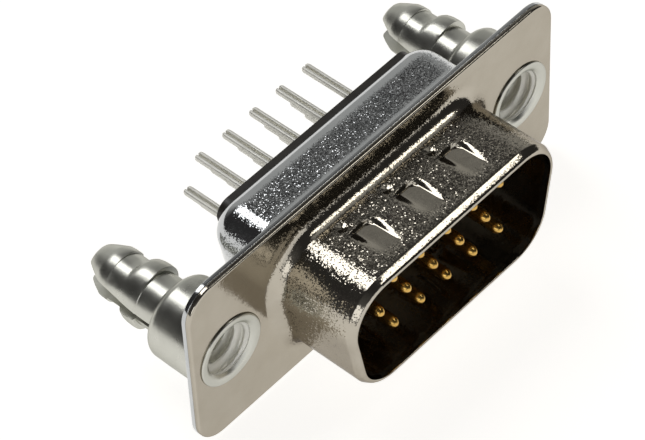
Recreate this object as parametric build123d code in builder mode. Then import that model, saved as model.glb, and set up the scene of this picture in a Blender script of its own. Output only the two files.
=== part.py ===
"""Three-row D-sub plug for a straight board, with riveted and threaded board locks.

Frame: the origin is the centre of the flange's front face, X runs along the flange,
Z points to the wide side of the D, and the plug mates towards -Y. Sizes are in mm.
"""
import os
from math import cos, radians, tan

from build123d import *

# Contact grid, which the outlines around it follow
contact_rows = 3
contact_columns = 5
contact_pitch = 2.29
row_pitch = 1.98

# Shroud, measured inside, with its D sides leaning
shroud_end_gap = 3.1
shroud_row_gap = 2.08
shroud_corner = 2.6
d_side_angle = 10
shroud_depth = 5.8
shroud_base_fillet = 0.9
shroud_rim_bevel = 0.1

# Sheet of the two shells
front_sheet = 0.3
rear_sheet = 0.3
sheet_flare = 0.7

# Dimples pressed into the upper and lower walls of the shroud
dimple_count = 3
dimple_pitch = 3.73
dimple_width = 1.8
dimple_length = 2.7
dimple_floor_length = 0.8
dimple_start = 1.95
dimple_rear_slope = 0.3
dimple_depth = 0.3
dimple_wall_margin = 0.12

# Rear cup, measured outside, as steps out from the inside of the shroud
cup_end_step = 0.41
cup_row_step = 1.18
cup_corner = 1.95
cup_depth = 4.1
cup_base_bevel = 0.6
cup_back_round = 1.5
cup_back_bevel = 0.7

# Moulded insulators, whose boss comes out of the open back of the cup
insulator_face = 0.5
insulator_split = 2.3
insulator_proud = 0.15
insulator_clearance = 0.06
boss_end_step = 1.21
boss_row_step = 0.64
boss_corner = 0.9

# Contacts
pin_radius = 0.38
pin_recess = 0.96
shank_size = 0.84
anchor_size = 1.2
anchor_length = 0.7
contact_clearance = 0.04
tail_size = 0.6
tail_wall = 0.19
tail_root = 0.5
tail_length = 5.15
tail_tip_bevel = 0.2

# Board locks
lock_edge = 2.91
lock_rim_radius = 2.36
lock_rim_height = 0.32
lock_rim_bevel = 0.12
lock_neck_radius = 1.95
lock_neck_clearance = 0.03
lock_collar_radius = 2.68
lock_collar_gap = 0.5525
lock_collar_length = 3.45
lock_collar_bevel = 0.25
thread_bore_radius = 1.2
thread_bore_depth = 3.9
thread_mouth_bevel = 0.58
shaft_radius = 1.78
shaft_length = 1.85
barb_radius = 2.0
barb_length = 0.8
barb_ramp = 0.75
post_neck_radius = 1.5
post_neck_length = 0.75
tip_radius = 1.62
tip_length = 0.87
tip_shoulder_radius = 1.22
tip_shoulder_length = 0.85
tip_end_radius = 0.85
tip_end_length = 0.35
prong_slot = 1.1
prong_slot_floor = 0.5

# Flange
flange_corner = 1.9
flange_edge_gap = 0.435

# Outlines that follow from the contact grid outwards
row_stagger = contact_pitch / 2
grid_reach = contact_pitch * (contact_columns - 1) / 2 + row_stagger / 2
shroud_half_width = grid_reach + shroud_end_gap
shroud_half_height = row_pitch * (contact_rows - 1) / 2 + shroud_row_gap
cup_half_width = shroud_half_width + cup_end_step
cup_half_height = shroud_half_height + cup_row_step
boss_half_width = cup_half_width - boss_end_step
boss_half_height = cup_half_height - boss_row_step
lock_place = cup_half_width + cup_base_bevel + lock_collar_gap + lock_collar_radius
flange_width = 2 * (lock_place + lock_edge)
flange_height = 2 * (cup_half_height + cup_base_bevel + flange_edge_gap)
shroud_d = (shroud_half_height, shroud_half_width, shroud_corner)
cup_d = (cup_half_height, cup_half_width, cup_corner)
boss_d = (boss_half_height, boss_half_width, boss_corner)

# Places along Y
pin_end = pin_recess - shroud_depth
flange_back = front_sheet + rear_sheet
cup_back = flange_back + cup_depth
cup_floor = cup_back - rear_sheet
board_seat = cup_back + insulator_proud
tail_start = board_seat - tail_root
tail_end = board_seat + tail_length
collar_back = flange_back + lock_collar_length
lip_place = collar_back + shaft_length
barb_top = lip_place + barb_length
neck_start = barb_top + barb_ramp
tip_start = neck_start + post_neck_length
tip_top = tip_start + tip_length
tip_shoulder = tip_top + tip_shoulder_length
lock_end = tip_shoulder + tip_end_length


def front_plane(y):
    """Plane across the plug at a place along Y, seen from the mating side."""
    return Plane.XZ.offset(-y)


def d_outline(y, d_sizes, grow):
    """D outline at a place along Y, parallel to the given D and larger by grow."""
    half_height = d_sizes[0] + grow
    half_width = d_sizes[1] + grow / cos(radians(d_side_angle))
    corner = d_sizes[2] + grow
    lean = half_height * tan(radians(d_side_angle))
    with BuildSketch(front_plane(y)) as outline:
        with BuildLine():
            Polyline(
                (-half_width - lean, half_height),
                (half_width + lean, half_height),
                (half_width - lean, -half_height),
                (lean - half_width, -half_height),
                close=True,
            )
        make_face()
        fillet(vertices(), corner)
    return outline.sketch


def flange_outline(y):
    """Flange outline at a place along Y, with the two holes for the board locks."""
    with BuildSketch(front_plane(y)) as outline:
        RectangleRounded(flange_width, flange_height, flange_corner)
        with GridLocations(2 * lock_place, 0, 2, 1):
            Circle(lock_neck_radius + lock_neck_clearance, mode=Mode.SUBTRACT)
    return outline.sketch


def square_grid(y, size):
    """A square of the given size at each contact, at a place along Y."""
    with BuildSketch(front_plane(y)) as grid:
        with Locations(*contact_places):
            Rectangle(size, size)
    return grid.sketch


def bevelled_block(front, back, grow):
    """Block parallel to the cup between two places along Y, with a bevelled back edge."""
    with BuildPart() as block:
        extrude(d_outline(front, cup_d, grow), amount=front - back)
        chamfer(faces().sort_by(Axis.Y)[-1].edges(), cup_back_bevel)
    return block.part


def dimple_block(surface, margin):
    """Dimple that sinks steeply from a wall face at the given height and fades to the rim."""
    rear = -dimple_start + margin
    front = rear - dimple_length - 2 * margin
    floor_rear = rear - dimple_rear_slope
    floor_height = surface - dimple_depth
    with BuildPart() as block:
        with BuildSketch(Plane.YZ):
            with BuildLine():
                Polyline(
                    (rear, surface),
                    (floor_rear, floor_height),
                    (floor_rear - dimple_floor_length, floor_height),
                    (front, surface),
                    close=True,
                )
            make_face()
        extrude(amount=dimple_width / 2 + margin, both=True)
    return block.part


def save(piece, name):
    """Label a finished piece and write it."""
    piece.label = name
    export_step(piece, f"parts/{name}.step")


os.makedirs("parts", exist_ok=True)

# Contact places, row by row from the wide side, left to right seen from the front
contact_places = []
for row in range(contact_rows):
    shift = row_stagger / 2 if row % 2 == 0 else -row_stagger / 2
    contact_z = row_pitch * ((contact_rows - 1) / 2 - row)
    for column in range(contact_columns):
        contact_x = shift + contact_pitch * (column - (contact_columns - 1) / 2)
        contact_places.append((contact_x, contact_z))

# Front shell: flange and shroud drawn from one sheet, dimples pressed inwards
bump = dimple_block(shroud_half_height, dimple_wall_margin)
pocket = dimple_block(shroud_half_height + front_sheet, 0)
with BuildPart() as front_shell:
    extrude(flange_outline(0), amount=-front_sheet)
    extrude(d_outline(0, shroud_d, front_sheet), amount=shroud_depth)
    fillet(edges(Select.LAST).group_by(Axis.Y)[-1], shroud_base_fillet)
    rim = faces().sort_by(Axis.Y)[0]
    chamfer(rim.edges(), shroud_rim_bevel)
    extrude(d_outline(front_sheet, shroud_d, 0), amount=front_sheet + shroud_depth, mode=Mode.SUBTRACT)
    chamfer(edges(Select.LAST).group_by(Axis.Y)[-1], sheet_flare)
    with GridLocations(dimple_pitch, 0, dimple_count, 1):
        add(bump)
        add(mirror(bump, about=Plane.XY, mode=Mode.PRIVATE))
        add(pocket, mode=Mode.SUBTRACT)
        add(mirror(pocket, about=Plane.XY, mode=Mode.PRIVATE), mode=Mode.SUBTRACT)
save(front_shell.part, "front_shell")

# Rear shell: flange and drawn cup with a rounded back that ends in an open lip
with BuildPart() as rear_shell:
    extrude(flange_outline(flange_back), amount=rear_sheet)
    extrude(d_outline(flange_back, cup_d, 0), amount=-cup_depth)
    chamfer(edges(Select.LAST).group_by(Axis.Y)[0], cup_base_bevel)
    fillet(faces().sort_by(Axis.Y)[-1].edges(), cup_back_round)
    add(bevelled_block(front_sheet, cup_floor, -rear_sheet), mode=Mode.SUBTRACT)
    chamfer(edges(Select.LAST).group_by(Axis.Y)[0], sheet_flare)
    extrude(d_outline(cup_back, boss_d, insulator_clearance), amount=cup_depth, mode=Mode.SUBTRACT)
save(rear_shell.part, "rear_shell")

# Front insulator: face in the root of the shroud, block in the cup, pockets for the anchors
block_grow = -rear_sheet - insulator_clearance
shank_holes = square_grid(-insulator_face, shank_size + 2 * contact_clearance)
anchor_pockets = square_grid(insulator_split, anchor_size + 2 * contact_clearance)
with BuildPart() as front_insulator:
    extrude(d_outline(front_sheet, cup_d, block_grow), amount=front_sheet - insulator_split)
    extrude(d_outline(front_sheet, shroud_d, -insulator_clearance), amount=front_sheet + insulator_face)
    extrude(shank_holes, amount=-insulator_face - insulator_split, mode=Mode.SUBTRACT)
    extrude(anchor_pockets, amount=anchor_length, mode=Mode.SUBTRACT)
save(front_insulator.part, "front_insulator")

# Rear insulator: fills the back of the cup, its boss is the seat on the board
tail_holes = square_grid(insulator_split, tail_size + 2 * contact_clearance)
with BuildPart() as rear_insulator:
    add(bevelled_block(insulator_split, cup_floor - insulator_clearance, block_grow))
    extrude(d_outline(insulator_split, boss_d, 0), amount=insulator_split - board_seat)
    extrude(tail_holes, amount=insulator_split - board_seat, mode=Mode.SUBTRACT)
save(rear_insulator.part, "rear_insulator")

# Contacts: round pin, square shank with an anchor held between the insulators, channel tail
tail_slot = tail_size - 2 * tail_wall
for number, (contact_x, contact_z) in enumerate(contact_places, start=1):
    with BuildPart() as contact:
        with BuildSketch(front_plane(pin_end)):
            with Locations((contact_x, contact_z)):
                Circle(pin_radius)
        extrude(amount=pin_end + insulator_face)
        with BuildSketch(front_plane(-insulator_face)):
            with Locations((contact_x, contact_z)):
                Rectangle(shank_size, shank_size)
        extrude(amount=-insulator_face - insulator_split)
        with BuildSketch(front_plane(insulator_split)):
            with Locations((contact_x, contact_z)):
                Rectangle(anchor_size, anchor_size)
        extrude(amount=anchor_length)
        with BuildSketch(front_plane(insulator_split)):
            with Locations((contact_x, contact_z)):
                Rectangle(tail_size, tail_size)
        extrude(amount=insulator_split - tail_end)
        tail_tip = faces().sort_by(Axis.Y)[-1]
        chamfer(tail_tip.edges().filter_by(Axis.X), tail_tip_bevel)
        with BuildSketch(front_plane(tail_start)):
            with Locations((contact_x, contact_z + tail_wall)):
                Rectangle(tail_slot, tail_size)
        extrude(amount=tail_start - tail_end, mode=Mode.SUBTRACT)
    save(contact.part, f"contact_{number:02d}")

# Board locks: turned rivet with a threaded bore, a collar and a split barbed post
thread_floor = thread_bore_depth - lock_rim_height
thread_mouth_radius = thread_bore_radius + thread_mouth_bevel
for side, sign in (("left", -1), ("right", 1)):
    axis_x = sign * lock_place
    with BuildPart() as board_lock:
        with BuildSketch(Plane((axis_x, 0, 0))):
            with BuildLine():
                Polyline(
                    (0, thread_floor),
                    (thread_bore_radius, thread_floor),
                    (thread_bore_radius, thread_mouth_bevel - lock_rim_height),
                    (thread_mouth_radius, -lock_rim_height),
                    (lock_rim_radius - lock_rim_bevel, -lock_rim_height),
                    (lock_rim_radius, lock_rim_bevel - lock_rim_height),
                    (lock_rim_radius, 0),
                    (lock_neck_radius, 0),
                    (lock_neck_radius, flange_back),
                    (lock_collar_radius, flange_back),
                    (lock_collar_radius, collar_back - lock_collar_bevel),
                    (lock_collar_radius - lock_collar_bevel, collar_back),
                    (shaft_radius, collar_back),
                    (shaft_radius, lip_place),
                    (barb_radius, lip_place),
                    (barb_radius, barb_top),
                    (post_neck_radius, neck_start),
                    (post_neck_radius, tip_start),
                    (tip_radius, tip_start),
                    (tip_radius, tip_top),
                    (tip_shoulder_radius, tip_shoulder),
                    (tip_end_radius, lock_end),
                    (0, lock_end),
                    close=True,
                )
            make_face()
        revolve(axis=Axis((axis_x, 0, 0), (0, 1, 0)))
        with BuildSketch(front_plane(lock_end)):
            with Locations((axis_x, 0)):
                Rectangle(2 * barb_radius, prong_slot)
        extrude(amount=lock_end - collar_back - prong_slot_floor, mode=Mode.SUBTRACT)
    save(board_lock.part, f"board_lock_{side}")
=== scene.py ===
import math

import bmesh
import bpy
from mathutils import Matrix, Vector


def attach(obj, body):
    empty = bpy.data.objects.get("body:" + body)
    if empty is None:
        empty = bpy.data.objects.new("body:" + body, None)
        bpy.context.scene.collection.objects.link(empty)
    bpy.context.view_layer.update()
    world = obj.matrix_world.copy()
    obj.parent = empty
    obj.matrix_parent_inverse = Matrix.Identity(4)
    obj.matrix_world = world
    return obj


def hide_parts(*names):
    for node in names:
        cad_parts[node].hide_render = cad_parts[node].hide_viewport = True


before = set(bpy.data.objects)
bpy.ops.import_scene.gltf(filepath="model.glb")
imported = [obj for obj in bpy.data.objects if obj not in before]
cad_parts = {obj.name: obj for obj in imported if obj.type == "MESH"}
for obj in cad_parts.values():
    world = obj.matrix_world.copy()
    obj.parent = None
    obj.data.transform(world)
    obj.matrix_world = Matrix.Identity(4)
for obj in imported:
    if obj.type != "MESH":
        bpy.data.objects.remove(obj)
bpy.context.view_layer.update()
scene = bpy.context.scene
MM = 0.001


# Sizes in mm that several pieces share
SHEET = 0.3
FOOT = 0.9
BURR = 0.04
FLANGE_X = 15.405
FLANGE_Z = 6.275
FLANGE_CORNER = 1.9
LOCK_X = 12.495
HOLE_R = 1.98
LEAN = 10.0


# Mesh helpers
def ring(bm, points):
    return [bm.verts.new((x * MM, y * MM, z * MM)) for x, y, z in points]


def bridge(bm, a, b, closed=True):
    count = len(a)
    for i in range(count if closed else count - 1):
        j = (i + 1) % count
        bm.faces.new((a[i], a[j], b[j], b[i]))


def bridge_all(bm, rings, closed=True):
    for a, b in zip(rings, rings[1:]):
        bridge(bm, a, b, closed)


def fill(bm, rings, normal):
    edges = []
    for loop in rings:
        for a, b in zip(loop, loop[1:] + loop[:1]):
            edges.append(bm.edges.get((a, b)) or bm.edges.new((a, b)))
    bmesh.ops.triangle_fill(bm, use_beauty=True, edges=edges, normal=normal)


def piece(name, bm, materials, slot, *nodes, sharp=38.0, polish=None):
    """Turns a mesh into a piece on the root body that stands for the nodes."""
    bmesh.ops.recalc_face_normals(bm, faces=bm.faces)
    mesh = bpy.data.meshes.new(name)
    bm.to_mesh(mesh)
    bm.free()
    if polish:
        worn = mesh.attributes.new("polish", "FLOAT", "POINT")
        for vertex in mesh.vertices:
            x, y, z = vertex.co / MM
            inside = vertex.normal.x * x + vertex.normal.z * z < 0.0
            worn.data[vertex.index].value = polish(x, y, z, inside)
    for polygon in mesh.polygons:
        polygon.use_smooth = True
    mesh.set_sharp_from_angle(angle=math.radians(sharp))
    for material in materials:
        mesh.materials.append(material)
    obj = bpy.data.objects.new(name, mesh)
    scene.collection.objects.link(obj)
    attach(obj, "root")
    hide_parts(*nodes)


def arc(cx, cy, radius, start, end, count):
    steps = [math.radians(start + (end - start) * i / count) for i in range(count + 1)]
    return [(cx + radius * math.cos(a), cy + radius * math.sin(a)) for a in steps]


def smooth(t):
    t = min(1.0, max(0.0, t))
    return t * t * (3.0 - 2.0 * t)


# Outlines
END_GAP = 0.02
MARK_GAP = 0.03
CORNER_STEPS = 16
SIDE_STEPS = 6


def spread(low, high, step, marks):
    """Even places from low to high that give way to the marks between them."""
    count = max(1, round((high - low) / step))
    values = [low + (high - low) * i / count for i in range(1, count)]
    inner = [m for m in marks if low + END_GAP < m < high - END_GAP]
    kept = [v for v in values if all(abs(v - m) > MARK_GAP for m in inner)]
    return sorted(set(kept) | {low, high} | set(inner))


def d_outline(half_height, half_width, corner, step, marks=()):
    """Points and outward normals round a D whose wide side is up, clockwise from the top left."""
    c = math.cos(math.radians(LEAN))
    s = math.sin(math.radians(LEAN))

    def centre(z):
        return ((half_width * c - corner + s * z) / c, z)

    top = centre(half_height - corner)
    low = centre(corner - half_height)
    columns = [((x, half_height), (0.0, 1.0)) for x in spread(-top[0], top[0], step, marks)[:-1]]

    def turn(cx, cz, start, end):
        for i in range(CORNER_STEPS):
            a = math.radians(start + (end - start) * i / CORNER_STEPS)
            n = (math.cos(a), math.sin(a))
            columns.append(((cx + corner * n[0], cz + corner * n[1]), n))

    def side(p, q, n):
        for i in range(SIDE_STEPS):
            t = i / SIDE_STEPS
            x = p[0] + (q[0] - p[0]) * t
            z = p[1] + (q[1] - p[1]) * t
            columns.append(((x + corner * n[0], z + corner * n[1]), n))

    turn(top[0], top[1], 90.0, -LEAN)
    side(top, low, (c, -s))
    turn(low[0], low[1], -LEAN, -90.0)
    bottom = spread(-low[0], low[0], step, marks)
    columns.extend(((x, -half_height), (0.0, -1.0)) for x in bottom[:0:-1])
    turn(-low[0], low[1], -90.0, LEAN - 180.0)
    side((-low[0], low[1]), (-top[0], top[1]), (-c, -s))
    turn(-top[0], top[1], 180.0 + LEAN, 90.0)
    return columns


def d_ring(bm, columns, o, y, shift=None):
    """A ring that stands off an outline by o, with an own drop in z where there is a shift."""
    points = []
    for (x, z), n in columns:
        dz = shift(x, y, n) if shift else 0.0
        points.append((x + o * n[0], y, z + o * n[1] + dz))
    return ring(bm, points)


def plate_ring(bm, o, y):
    """A ring that stands off the edge of the flange by o."""
    corner = FLANGE_CORNER + o
    points = []
    for sx, sz, start in ((1, 1, 90), (1, -1, 0), (-1, -1, -90), (-1, 1, -180)):
        cx = sx * (FLANGE_X + o - corner)
        cz = sz * (FLANGE_Z + o - corner)
        points.extend((px, y, pz) for px, pz in arc(cx, cz, corner, start, start - 90, 12))
    return ring(bm, points)


def circle_ring(bm, cx, radius, y, count=48):
    steps = [2.0 * math.pi * i / count for i in range(count)]
    return ring(bm, [(cx + radius * math.cos(a), y, radius * math.sin(a)) for a in steps])


def flange(bm, edge, wall, levels, facing):
    """The plate round a drawn wall: its edge, both fixing holes and its two faces."""
    rim = [plate_ring(bm, o, y) for o, y in edge]
    bridge_all(bm, rim)
    holes = []
    for x in (-LOCK_X, LOCK_X):
        pair = [circle_ring(bm, x, HOLE_R, y) for y in levels]
        bridge(bm, *pair)
        holes.append(pair)
    fill(bm, [rim[0], wall[0]] + [h[0] for h in holes], (0, facing, 0))
    fill(bm, [rim[-1], wall[-1]] + [h[1] for h in holes], (0, -facing, 0))


# Materials
def shader(name):
    material = bpy.data.materials.new(name)
    material.use_nodes = True
    tree = material.node_tree
    return material, tree, tree.nodes["Principled BSDF"]


def noise(tree, scale, detail, roughness=0.5):
    place = tree.nodes.new("ShaderNodeTexCoord")
    node = tree.nodes.new("ShaderNodeTexNoise")
    node.inputs["Scale"].default_value = scale
    node.inputs["Detail"].default_value = detail
    node.inputs["Roughness"].default_value = roughness
    tree.links.new(place.outputs["Object"], node.inputs["Vector"])
    return node.outputs["Fac"]


def ramp(tree, source, stops):
    node = tree.nodes.new("ShaderNodeValToRGB")
    while len(node.color_ramp.elements) < len(stops):
        node.color_ramp.elements.new(0.5)
    for element, (position, colour) in zip(node.color_ramp.elements, stops):
        element.position = position
        element.color = (*colour, 1.0)
    tree.links.new(source, node.inputs["Fac"])
    return node.outputs["Color"]


def ranged(tree, source, low, high, to_low, to_high):
    node = tree.nodes.new("ShaderNodeMapRange")
    for socket, value in zip(node.inputs[1:5], (low, high, to_low, to_high)):
        socket.default_value = value
    tree.links.new(source, node.inputs["Value"])
    return node.outputs["Result"]


def summed(tree, first, second):
    node = tree.nodes.new("ShaderNodeMath")
    node.operation = "ADD"
    tree.links.new(first, node.inputs[0])
    tree.links.new(second, node.inputs[1])
    return node.outputs[0]


def bump(tree, height, distance, under=None):
    node = tree.nodes.new("ShaderNodeBump")
    node.inputs["Strength"].default_value = 1.0
    node.inputs["Distance"].default_value = distance
    tree.links.new(height, node.inputs["Height"])
    if under:
        tree.links.new(under, node.inputs["Normal"])
    return node.outputs["Normal"]


def joined(tree, operation, *sides):
    """One vector operation: each side is a socket, or a constant written on the socket."""
    node = tree.nodes.new("ShaderNodeVectorMath")
    node.operation = operation
    for socket, value in zip(node.inputs, sides):
        if isinstance(value, tuple):
            socket.default_value = value
        else:
            tree.links.new(value, socket)
    return node


def facets(tree, scale, amount, under):
    """Tilts each crystal of the plating by its own small angle, none where the sheet is burnished."""
    place = tree.nodes.new("ShaderNodeTexCoord")
    cells = tree.nodes.new("ShaderNodeTexVoronoi")
    cells.inputs["Scale"].default_value = scale
    tree.links.new(place.outputs["Object"], cells.inputs["Vector"])
    lean = joined(tree, "SUBTRACT", cells.outputs["Color"], (0.5, 0.5, 0.5)).outputs["Vector"]
    square = joined(tree, "MULTIPLY", lean, lean).outputs["Vector"]
    cube = joined(tree, "MULTIPLY", square, lean).outputs["Vector"]
    worn = tree.nodes.new("ShaderNodeAttribute")
    worn.attribute_name = "polish"
    tilt = joined(tree, "SCALE", cube)
    tree.links.new(ranged(tree, worn.outputs["Fac"], 0.0, 1.0, amount, 0.0), tilt.inputs["Scale"])
    tilted = joined(tree, "ADD", under, tilt.outputs["Vector"]).outputs["Vector"]
    return joined(tree, "NORMALIZE", tilted).outputs["Vector"]


def metal(name, light, dark, rough, wave, wave_height):
    """Bright metal of patchy tone. Its last value is the normal of a faint orange peel."""
    material, tree, bsdf = shader(name)
    bsdf.inputs["Metallic"].default_value = 1.0
    tone = noise(tree, 420.0, 4.0, 0.6)
    tree.links.new(ramp(tree, tone, ((0.3, dark), (0.7, light))), bsdf.inputs["Base Color"])
    smear = noise(tree, 900.0, 3.0)
    tree.links.new(ranged(tree, smear, 0.3, 0.7, rough[0], rough[1]), bsdf.inputs["Roughness"])
    return material, tree, bsdf, bump(tree, noise(tree, wave, 2.0), wave_height)


def crystalline(name, light, dark, rough, scale, amount):
    """Plating over drawn sheet, made of tilted crystals."""
    material, tree, bsdf, peel = metal(name, light, dark, rough, 1500.0, 5.0e-6)
    tree.links.new(facets(tree, scale, amount, peel), bsdf.inputs["Normal"])
    return material


def plated(name, light, dark, rough, grain, grain_height, wave, wave_height):
    """Plating on turned or folded metal, with a fine grain."""
    material, tree, bsdf, peel = metal(name, light, dark, rough, wave, wave_height)
    fine = bump(tree, noise(tree, grain, 1.5, 0.6), grain_height, peel)
    tree.links.new(fine, bsdf.inputs["Normal"])
    return material


def constant(material, socket, value):
    material.node_tree.nodes["Principled BSDF"].inputs[socket].default_value = value


nickel = crystalline("nickel_plate", (0.475, 0.44, 0.375), (0.435, 0.40, 0.335), (0.09, 0.15), 15000.0, 1.5)
tinned = crystalline("tinned_plate", (0.53, 0.54, 0.545), (0.46, 0.475, 0.485), (0.09, 0.15), 19000.0, 1.4)
lock_tin = plated("lock_tin", (0.60, 0.60, 0.55), (0.53, 0.53, 0.48), (0.26, 0.36),
                  3600.0, 4.0e-6, 700.0, 8.0e-6)
tail_tin = plated("tail_tin", (1.0, 0.99, 0.93), (0.94, 0.93, 0.86), (0.42, 0.55),
                  4000.0, 4.0e-6, 900.0, 6.0e-6)
sawn_tin = plated("sawn_tin", (0.56, 0.56, 0.51), (0.46, 0.46, 0.41), (0.36, 0.50),
                  3000.0, 1.2e-5, 700.0, 8.0e-6)
# Tin of the threaded bore: the lock's own tin painted far brighter and less metallic, as painted light for
# the bore, which lies in shade
thread_tin_painted_light = plated("thread_tin_painted_light", (1.0, 0.99, 0.92), (0.92, 0.91, 0.84), (0.30, 0.42),
                    3000.0, 1.2e-5, 700.0, 8.0e-6)
pin_gold = plated("pin_gold", (0.70, 0.45, 0.13), (0.58, 0.35, 0.09), (0.20, 0.30),
                  5000.0, 3.0e-6, 1200.0, 3.0e-6)
constant(nickel, "Specular Tint", (0.5, 0.48, 0.46, 1.0))
constant(lock_tin, "Specular Tint", (0.62, 0.62, 0.6, 1.0))
constant(tail_tin, "Metallic", 0.45)
# The bore tin is made less metallic as part of that painted light
constant(thread_tin_painted_light, "Metallic", 0.25)

moulding, tree, bsdf = shader("black_moulding")
tone = noise(tree, 500.0, 4.0)
tree.links.new(ramp(tree, tone, ((0.3, (0.016, 0.013, 0.010)), (0.7, (0.030, 0.026, 0.020)))),
               bsdf.inputs["Base Color"])
tree.links.new(ranged(tree, noise(tree, 2400.0, 2.0), 0.3, 0.7, 0.34, 0.52), bsdf.inputs["Roughness"])
tree.links.new(bump(tree, noise(tree, 7000.0, 2.0), 3.0e-6), bsdf.inputs["Normal"])


# Front shell
SHROUD_Z = 4.06
SHROUD_X = 8.2525
SHROUD_CORNER = 2.6
SHROUD_END = -5.8
LIP = 0.27
LIP_CENTRE = -0.1
LIP_TURN = 0.14
TAPER = 25.0
EDGE_ROUND = 0.12
DIMPLES = (-3.73, 0.0, 3.73)
PRESS_DEPTH = 0.26
PRESS_HALF = 0.52
PRESS_FLARE = 0.16
PRESS_REAR = -1.93
PRESS_FRONT = -4.75
PRESS_RUN = 2.75
NICK_DEPTH = 0.085
STRIP_X = 7.8
STRIP_Z = 4.7


def dimple_depth(x, y):
    """Pressed wedge: a sheared step at its rear, a crisp right side, a floor that runs out to the rim.

    A small nick lies behind its left corner.
    """
    run = min(1.0, max(0.0, (y - PRESS_FRONT) / PRESS_RUN))
    half = PRESS_HALF + PRESS_FLARE * run
    depth = 0.0
    for c in DIMPLES:
        u = x - c
        rear = PRESS_REAR - 0.3 * smooth((u - 0.25) / 0.6)
        deep = PRESS_DEPTH * smooth((rear - y) / (0.12 + 0.2 * smooth(abs(u) - 0.3))) * run
        right = min(1.0, max(0.0, (u - half) / 0.42))
        left = smooth((0.2 - u - half) / 0.75)
        depth += deep * (1.0 - right) ** 1.8 * (1.0 - left)
        away = math.hypot((u + 0.88) / 0.5, (y + 1.4) / 0.45)
        depth += NICK_DEPTH * (1.0 - smooth(away))
    return depth


def dimple(x, y, n):
    return -n[1] * dimple_depth(x, y) if abs(n[1]) > 0.9999 else 0.0


# Columns and rows stand close together where a dimple has its edges
edge_steps = [0.0, 0.25, 0.45] + [0.52 + 0.05 * i for i in range(5)]
edge_steps += [0.78 + 0.06 * i for i in range(6)] + [1.2, 1.34]
marks = sorted({round(c + s * e, 4) for c in DIMPLES for s in (-1, 1) for e in edge_steps})
shroud = d_outline(SHROUD_Z, SHROUD_X, SHROUD_CORNER, 0.28, marks)
wall_rows = [-1.0 - 0.1 * i for i in range(9)] + [-1.88]
wall_rows += [PRESS_REAR - 0.02 * i for i in range(7)] + [-2.08, -2.13, -2.2]
wall_rows += [-2.4 - 0.2 * i for i in range(15)]

bm = bmesh.new()
outer = arc(SHEET + FOOT, -FOOT, FOOT, 90, 180, 14)
outer += [(SHEET, y) for y in wall_rows]
outer += [(SHEET, -5.29), (SHEET - 0.003, -5.33), (SHEET - 0.012, -5.36)]
outer += arc(LIP_CENTRE, SHROUD_END + LIP, LIP, -TAPER, -90, 10)
inner = arc(LIP_CENTRE, SHROUD_END + BURR, BURR, -90, -180, 3)
inner += [(-LIP_TURN * smooth((-5.15 - y) / 0.62), y) for y in (-5.65, -5.55, -5.45, -5.35, -5.25)]
inner += [(0.0, y) for y in wall_rows[::-1]]
inner += arc(SHEET + FOOT, -FOOT, SHEET + FOOT, 180, 90, 10)
rows = [d_ring(bm, shroud, SHEET + FOOT + 0.06, 0.0)]
rows += [d_ring(bm, shroud, o, y, dimple) for o, y in outer + inner[1:]]
rows.append(d_ring(bm, shroud, SHEET + FOOT + 0.06, SHEET))
bridge_all(bm, rows)
edge = [(-0.18, 0.0), (-EDGE_ROUND, 0.0)] + arc(-EDGE_ROUND, EDGE_ROUND, EDGE_ROUND, -90, 0, 5)[1:]
edge += [(0.0, 0.25)] + arc(-BURR, SHEET - BURR, BURR, 0, 90, 3) + [(-0.1, SHEET)]
flange(bm, edge, rows, (0.0, SHEET), -1)


def front_polish(x, y, z, inside):
    """The press and the die have burnished the folds, the rim and the floors of the dimples."""
    above = z > STRIP_Z and abs(x) < STRIP_X
    if y > -0.02:
        return 0.1 if above and y < 0.02 and z < FLANGE_Z - 0.2 else 0.9
    if y > -0.4 and above:
        return 0.2
    if y > -1.0 and z < 3.8 and not inside:
        return 0.3
    if y > -1.0 or inside:
        return 0.65
    pressed = smooth(dimple_depth(x, y) / 0.06) if abs(z) > 3.6 else 0.0
    bend = 0.15 * smooth((abs(x) - 6.6) / 1.0) * smooth((z - 1.0) / 1.5)
    rolled = 0.3 if abs(x) > 6.8 and z < 3.6 else 0.75
    return max(rolled * smooth((-5.1 - y) / 0.2), 0.9 * pressed, bend)


piece("shell_front", bm, [nickel], "nickel_shell", "front_shell", polish=front_polish)


# Rear shell
CUP_Z = 5.24
CUP_X = 8.6625
CUP_CORNER = 1.95
CUP_END = 4.7
CUP_ROUND = 1.5
OPENING_Z = 4.66
OPENING_X = 7.5125
OPENING_CORNER = 0.96
REAR_ROUND = 0.06
BACK = 2.0 * SHEET
TINY = 1e-6

cup = d_outline(CUP_Z, CUP_X, CUP_CORNER, 0.5)
opening = [p for p, n in d_outline(OPENING_Z, OPENING_X, OPENING_CORNER, 0.5)]


def reach(point, normal):
    """How far inwards from a point on the cup the edge of its open back lies."""
    best = CUP_ROUND * 0.98
    for a, b in zip(opening, opening[1:] + opening[:1]):
        ex = b[0] - a[0]
        ez = b[1] - a[1]
        det = normal[0] * ez - normal[1] * ex
        if abs(det) < 1e-9:
            continue
        px = point[0] - a[0]
        pz = point[1] - a[1]
        t = (px * ez - pz * ex) / det
        u = (normal[0] * pz - normal[1] * px) / det
        if 0.0 < t < best and -TINY <= u <= 1.0 + TINY:
            best = t
    return best


limits = [reach(p, n) for p, n in cup]


def back_ring(bm, t, thickness):
    """A ring on the round back of the cup, from its wall at t = 0 to the open edge at t = 1."""
    radius = CUP_ROUND - thickness
    points = []
    for ((x, z), n), limit in zip(cup, limits):
        full = math.acos(max(-1.0, min(1.0, (CUP_ROUND - limit) / radius)))
        o = -CUP_ROUND + radius * math.cos(full * t)
        y = CUP_END - CUP_ROUND + radius * math.sin(full * t)
        points.append((x + o * n[0], y, z + o * n[1]))
    return ring(bm, points)


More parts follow.
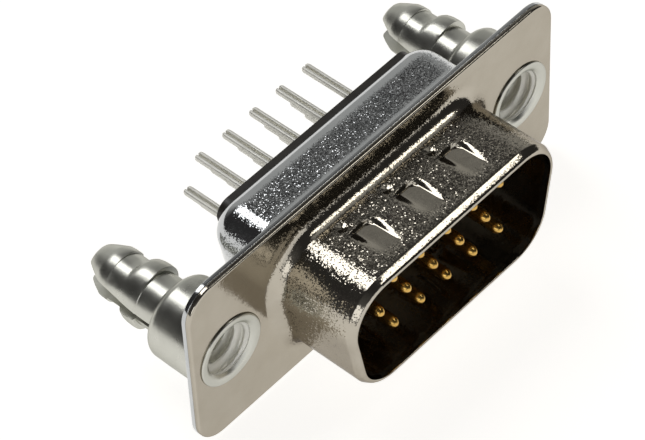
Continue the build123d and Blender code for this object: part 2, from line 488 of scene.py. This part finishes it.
bm = bmesh.new()
foot = arc(FOOT, BACK + FOOT, FOOT, -90, -180, 14) + [(0.0, y) for y in (1.9, 2.4, 2.9)]
foot_in = [(-SHEET, y) for y in (2.9, 2.4, 1.9)] + arc(FOOT, BACK + FOOT, FOOT + SHEET, 180, 270, 10)
rows = [d_ring(bm, cup, FOOT + 0.06, BACK)] + [d_ring(bm, cup, o, y) for o, y in foot]
rows += [back_ring(bm, t / 14.0, 0.0) for t in range(15)]
rows += [back_ring(bm, t / 8.0, SHEET) for t in range(8, -1, -1)]
rows += [d_ring(bm, cup, o, y) for o, y in foot_in]
rows.append(d_ring(bm, cup, FOOT + 0.06, SHEET))
bridge_all(bm, rows)
edge = [(-0.12, BACK), (-REAR_ROUND, BACK)]
edge += arc(-REAR_ROUND, BACK - REAR_ROUND, REAR_ROUND, 90, 0, 3)[1:]
edge += [(0.0, SHEET + 0.05)] + arc(-BURR, SHEET + BURR, BURR, 0, -90, 3) + [(-0.1, SHEET)]
flange(bm, edge, rows, (BACK, SHEET), 1)


def rear_polish(x, y, z, inside):
    return max(smooth((1.5 - y) / 0.35), smooth((y - 3.2) / 0.7))


piece("shell_rear", bm, [tinned], "tinned_shell", "rear_shell", polish=rear_polish)


# Board locks
BORE_R = 1.42
THREAD_PITCH = 0.635
THREAD_HALF = 0.17
THREAD_END = 3.5
THREAD_STEP = 0.022
THREAD_ROWS = 154
MOUTH_FLARE = 0.28
RIM_R = 2.38
RIM_ROUND = 0.09
NECK_R = 1.95
COLLAR_R = 2.68
POST_R = 1.72
SLOT_Y = 4.55
SLOT_HALF = 0.16
SLOT_SPREAD = 0.56
ARC_TOP = 30
ARC_SIDE = 4
FLAP = math.radians(46.0)

# Radius and place of the countersink, from the thread to the rolled rim
SINK = ((1.7, 0.09), (1.77, 0.03), (1.84, -0.025), (1.91, -0.07), (1.98, -0.1), (2.05, -0.118))

# Place along a prong, its radius over the barbs, and its radius beside the slot
PRONG = ((5.2, 1.72, 1.72), (5.7, 1.72, 1.72), (5.72, 1.98, 1.735), (5.75, 2.04, 1.74),
         (6.0, 2.06, 1.735), (6.4, 2.04, 1.725), (6.7, 1.98, 1.715), (6.88, 1.88, 1.705),
         (6.98, 1.74, 1.70), (7.06, 1.60, 1.69), (7.16, 1.55, 1.685), (7.6, 1.55, 1.675),
         (8.1, 1.55, 1.665), (8.12, 1.64, 1.675), (8.16, 1.66, 1.675), (8.5, 1.66, 1.665),
         (8.8, 1.63, 1.63), (8.95, 1.57, 1.565), (9.45, 1.36, 1.36), (9.85, 1.17, 1.17),
         (9.95, 1.10, 1.10), (10.03, 0.98, 0.98), (10.06, 0.82, 0.82))


def slot_gap(y):
    """Half the gap between the prongs, which stand apart towards the tip."""
    return SLOT_HALF + SLOT_SPREAD * smooth((y - 5.0) / 5.2)


def lock_angles(radius):
    a = math.asin(slot_gap(SLOT_Y) / radius)
    top = [a + (math.pi - 2.0 * a) * i / ARC_TOP for i in range(ARC_TOP)]
    left = [math.pi - a + 2.0 * a * i / ARC_SIDE for i in range(ARC_SIDE)]
    return top + left + [t + math.pi for t in top + left]


def lock(name, node, cx):
    bm = bmesh.new()
    angles = lock_angles(POST_R)

    def lathe(r, y):
        return ring(bm, [(cx + r * math.cos(a), y, r * math.sin(a)) for a in angles])

    def thread(y):
        ease = smooth((y - 0.14) / 0.16) * smooth((THREAD_END - y) / 0.3)
        mouth = MOUTH_FLARE * smooth((0.95 - y) / 0.85)
        points = []
        for a in angles:
            turn = (y / THREAD_PITCH - a / (2.0 * math.pi)) % 1.0
            wave = max(-0.9, min(0.9, 1.25 * (4.0 * abs(turn - 0.5) - 1.0)))
            r = BORE_R + mouth + ease * THREAD_HALF * wave
            points.append((cx + r * math.cos(a), y, r * math.sin(a)))
        return ring(bm, points)

    bottom = lathe(0.05, 3.9)
    bm.faces.new(bottom)
    rows = [bottom, lathe(1.2, 3.58)]
    rows += [thread(THREAD_END - THREAD_STEP * i) for i in range(THREAD_ROWS)]
    rows += [lathe(r, y) for r, y in SINK]
    profile = [(2.12, -0.125), (2.22, -0.13)] + arc(RIM_R - RIM_ROUND, -0.04, RIM_ROUND, -90, 0, 5)
    profile += [(RIM_R, -0.02), (RIM_R - 0.02, 0.0), (NECK_R, 0.0)]
    profile += [(NECK_R, BACK), (2.5, BACK)] + arc(COLLAR_R - 0.06, BACK + 0.06, 0.06, -90, 0, 3)
    profile += [(COLLAR_R, 1.6), (COLLAR_R, 2.6), (COLLAR_R - 0.01, 3.2)] + arc(2.05, 3.55, 0.62, 6, 80, 9)
    profile += [(1.98, 4.2), (1.84, 4.27), (1.76, 4.36), (POST_R, SLOT_Y)]
    rows += [lathe(r, y) for r, y in profile]
    bridge_all(bm, rows)
    last = rows[-1]
    half = ARC_TOP + ARC_SIDE
    floor = last[ARC_TOP:half + 1] + last[half + ARC_TOP:] + last[:1]
    sawn = [bm.faces.new(floor)]
    for first, sign in ((0, 1.0), (half, -1.0)):
        start = last[first:first + ARC_TOP] + [last[(first + ARC_TOP) % len(last)]]
        rows = [start]
        for y, over, beside in PRONG:
            a = math.asin(slot_gap(y) / beside)
            points = []
            for i in range(ARC_TOP + 1):
                t = a + (math.pi - 2.0 * a) * i / ARC_TOP
                r = sign * (beside + (over - beside) * max(0.0, math.cos(t - FLAP)) ** 2)
                points.append((cx + r * math.cos(t), y, r * math.sin(t)))
            rows.append(ring(bm, points))
        bridge_all(bm, rows, False)
        for p, q in zip(rows, rows[1:]):
            sawn.append(bm.faces.new((p[0], q[0], q[-1], p[-1])))
        bm.faces.new(rows[-1])
    for face in sawn:
        face.material_index = 1
    # Faces in the bore get the painted-bright tin: painted light in the shaded hole
    for face in bm.faces:
        middle = face.calc_center_median() / MM
        if 0.1 < middle.y < 4.0 and math.hypot(middle.x - cx, middle.z) < 1.85:
            face.material_index = 2
    piece(name, bm, [lock_tin, sawn_tin, thread_tin_painted_light], "lock_metal", node, sharp=32.0)


lock("lock_left", "board_lock_left", -LOCK_X)
lock("lock_right", "board_lock_right", LOCK_X)


# Contacts
PITCH_X = 2.29
ROW_Z = 1.98
ROW_SHIFT = 0.5725
PIN_R = 0.38
PIN_TIP = -4.84
PIN_NOSE = 0.6
PIN_SIDES = 24
TAIL_W = 0.31
TAIL_H = 0.19
TAIL_ROUND = 0.11
TAIL_GROOVE = 0.075
TAIL_OFF = (-0.22, -0.17)

# Size of the section and its place along a tail, with a rounded end
TAIL = ((1.0, 2.4), (1.0, 5.0), (1.0, 7.5), (1.0, 9.9), (0.97, 10.0), (0.87, 10.09), (0.72, 10.12))


def channel(shrink, y, cx, cz):
    """Section of a tail coined to a shallow channel that opens upwards."""
    w = TAIL_W * shrink
    h = TAIL_H * shrink
    g = TAIL_GROOVE * shrink
    r = TAIL_ROUND * shrink
    points = arc(-g - r * 0.5, h - r * 0.5, r * 0.5, 0, 90, 3)
    points += arc(-w + r, h - r, r, 90, 180, 4) + arc(-w + r, -h + r, r, 180, 270, 4)
    points += arc(w - r, -h + r, r, 270, 360, 4) + arc(w - r, h - r, r, 0, 90, 4)
    points += arc(g + r * 0.5, h - r * 0.5, r * 0.5, 90, 180, 3)
    points += [(g, -h * 0.2), (0.0, -h * 0.45), (-g, -h * 0.2)]
    return [(cx + TAIL_OFF[0] + px, y, cz + TAIL_OFF[1] + pz) for px, pz in points]


def contact(name, node, cx, cz):
    bm = bmesh.new()
    nose = [math.radians(4.0 + 86.0 * i / 9.0) for i in range(10)]
    profile = [(PIN_R * math.sin(a), PIN_TIP + PIN_NOSE * (1.0 - math.cos(a))) for a in nose]
    profile += [(PIN_R, y) for y in (-3.0, -1.5, -0.3)]
    rows = []
    for r, y in profile:
        steps = [2.0 * math.pi * i / PIN_SIDES for i in range(PIN_SIDES)]
        rows.append(ring(bm, [(cx + r * math.cos(a), y, cz + r * math.sin(a)) for a in steps]))
    bm.faces.new(rows[0])
    bridge_all(bm, rows)
    bm.faces.new(rows[-1])
    gold = len(bm.faces)
    rows = [ring(bm, channel(k, y, cx, cz)) for k, y in TAIL]
    bridge_all(bm, rows)
    bm.faces.new(rows[0])
    bm.faces.new(rows[-1])
    bm.faces.ensure_lookup_table()
    for face in bm.faces[gold:]:
        face.material_index = 1
    piece(name, bm, [pin_gold, tail_tin], "contact_metal", node)


for row in range(3):
    for column in range(5):
        index = 5 * row + column + 1
        shift = -ROW_SHIFT if row == 1 else ROW_SHIFT
        x = shift + PITCH_X * (column - 2)
        contact(f"pin_{index:02d}", f"contact_{index:02d}", x, ROW_Z * (1 - row))


# Insulators keep their solids
for node in ("front_insulator", "rear_insulator"):
    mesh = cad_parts[node].data
    mesh.materials.clear()
    mesh.materials.append(moulding)


# Floor, which glows for the camera and in reflections and lights nothing
FLOOR_Z = -6.4
FLOOR_HALF = 1500
FLOOR_GLOW = 0.86

material, tree, bsdf = shader("pale_floor")
bsdf.inputs["Roughness"].default_value = 1.0
bsdf.inputs["Specular IOR Level"].default_value = 0.0
tone = noise(tree, 30.0, 2.0)
tree.links.new(ramp(tree, tone, ((0.3, (0.50, 0.50, 0.495)), (0.7, (0.52, 0.52, 0.515)))),
               bsdf.inputs["Base Color"])
rays = tree.nodes.new("ShaderNodeLightPath")
seen = summed(tree, rays.outputs["Is Camera Ray"], rays.outputs["Is Glossy Ray"])
bsdf.inputs["Emission Color"].default_value = (1.0, 0.985, 0.96, 1.0)
tree.links.new(ranged(tree, seen, 0.0, 1.0, 0.0, FLOOR_GLOW), bsdf.inputs["Emission Strength"])

bm = bmesh.new()
corners = ((-1, -1), (1, -1), (1, 1), (-1, 1))
bm.faces.new(ring(bm, [(sx * FLOOR_HALF, sy * FLOOR_HALF, FLOOR_Z) for sx, sy in corners]))
mesh = bpy.data.meshes.new("floor")
bm.to_mesh(mesh)
bm.free()
mesh.materials.append(material)
floor = bpy.data.objects.new("floor", mesh)
scene.collection.objects.link(floor)


# Light
LIGHT_DISTANCE = 0.45


def direction(azimuth, elevation):
    a = math.radians(azimuth)
    e = math.radians(elevation)
    return Vector((math.sin(a) * math.cos(e), math.cos(a) * math.cos(e), math.sin(e)))


def span(angle):
    """Length that covers an angle when it is seen from the part."""
    return 2.0 * LIGHT_DISTANCE * math.tan(math.radians(angle / 2.0))


def softbox(name, azimuth, elevation, wide, tall, radiance, colour=(1.0, 1.0, 1.0)):
    lamp = bpy.data.lights.new(name, "AREA")
    lamp.shape = "RECTANGLE"
    lamp.size = span(wide)
    lamp.size_y = span(tall)
    lamp.energy = radiance * math.pi * lamp.size * lamp.size_y
    lamp.color = colour
    obj = bpy.data.objects.new(name, lamp)
    place = direction(azimuth, elevation) * LIGHT_DISTANCE
    obj.location = place
    obj.rotation_euler = place.to_track_quat("Z", "Y").to_euler()
    obj.visible_camera = False
    scene.collection.objects.link(obj)


softbox("key_above", 4, 57, 24, 32, 3.4)
softbox("side_left", -115, 19, 38, 26, 1.5)
softbox("front_low", 186, 5, 56, 34, 0.9)
softbox("front_high", 120, 56, 24, 8, 3.6, (1.0, 0.98, 0.93))

world = bpy.data.worlds.new("studio")
scene.world = world
world.use_nodes = True
tree = world.node_tree
back = tree.nodes["Background"]
place = tree.nodes.new("ShaderNodeTexCoord")


def lobe(azimuth, elevation, inner, outer, value):
    """A patch of the surroundings, full inside one angle and gone outside the other."""
    node = tree.nodes.new("ShaderNodeVectorMath")
    node.operation = "DOT_PRODUCT"
    node.inputs[1].default_value = direction(azimuth, elevation)
    tree.links.new(place.outputs["Generated"], node.inputs[0])
    low = math.cos(math.radians(outer))
    high = math.cos(math.radians(inner))
    return ranged(tree, node.outputs["Value"], low, high, 0.0, value)


level = lobe(40, 8, 15, 43, 0.52)
glows = [lobe(10, 10, 10, 28, 0.14), lobe(32, 22, 6, 17, 0.26)]
glows += [lobe(-115, 12, 20, 60, 0.08), lobe(84, 64, 4, 15, 0.4)]
for more in glows:
    level = summed(tree, level, more)
sky = ramp(tree, level, ((0.0, (0.035, 0.034, 0.034)), (0.5, (0.5, 0.5, 0.485))))
pick = tree.nodes.new("ShaderNodeMix")
pick.data_type = "RGBA"
rays = tree.nodes.new("ShaderNodeLightPath")
tree.links.new(rays.outputs["Is Camera Ray"], pick.inputs["Factor"])
tree.links.new(sky, pick.inputs[6])
pick.inputs[7].default_value = (1.0, 1.0, 1.0, 1.0)
tree.links.new(pick.outputs[2], back.inputs["Color"])


# Camera
right = Vector((0.66730, -0.74393, -0.03559))
up = Vector((0.57685, 0.48602, 0.65653))
ahead = Vector((0.47112, 0.45864, -0.75346))
spot = Vector((-91.612, -84.777, 143.182)) * MM
lens = bpy.data.cameras.new("camera")
lens.sensor_width = 36.0
lens.lens = 185.606
lens.shift_x = -0.0024
lens.clip_start = 0.002
camera = bpy.data.objects.new("camera", lens)
turn = Matrix((right, up, -ahead)).transposed().to_4x4()
camera.matrix_world = Matrix.Translation(spot) @ turn
scene.collection.objects.link(camera)
scene.camera = camera
scene.view_settings.view_transform = "Standard"
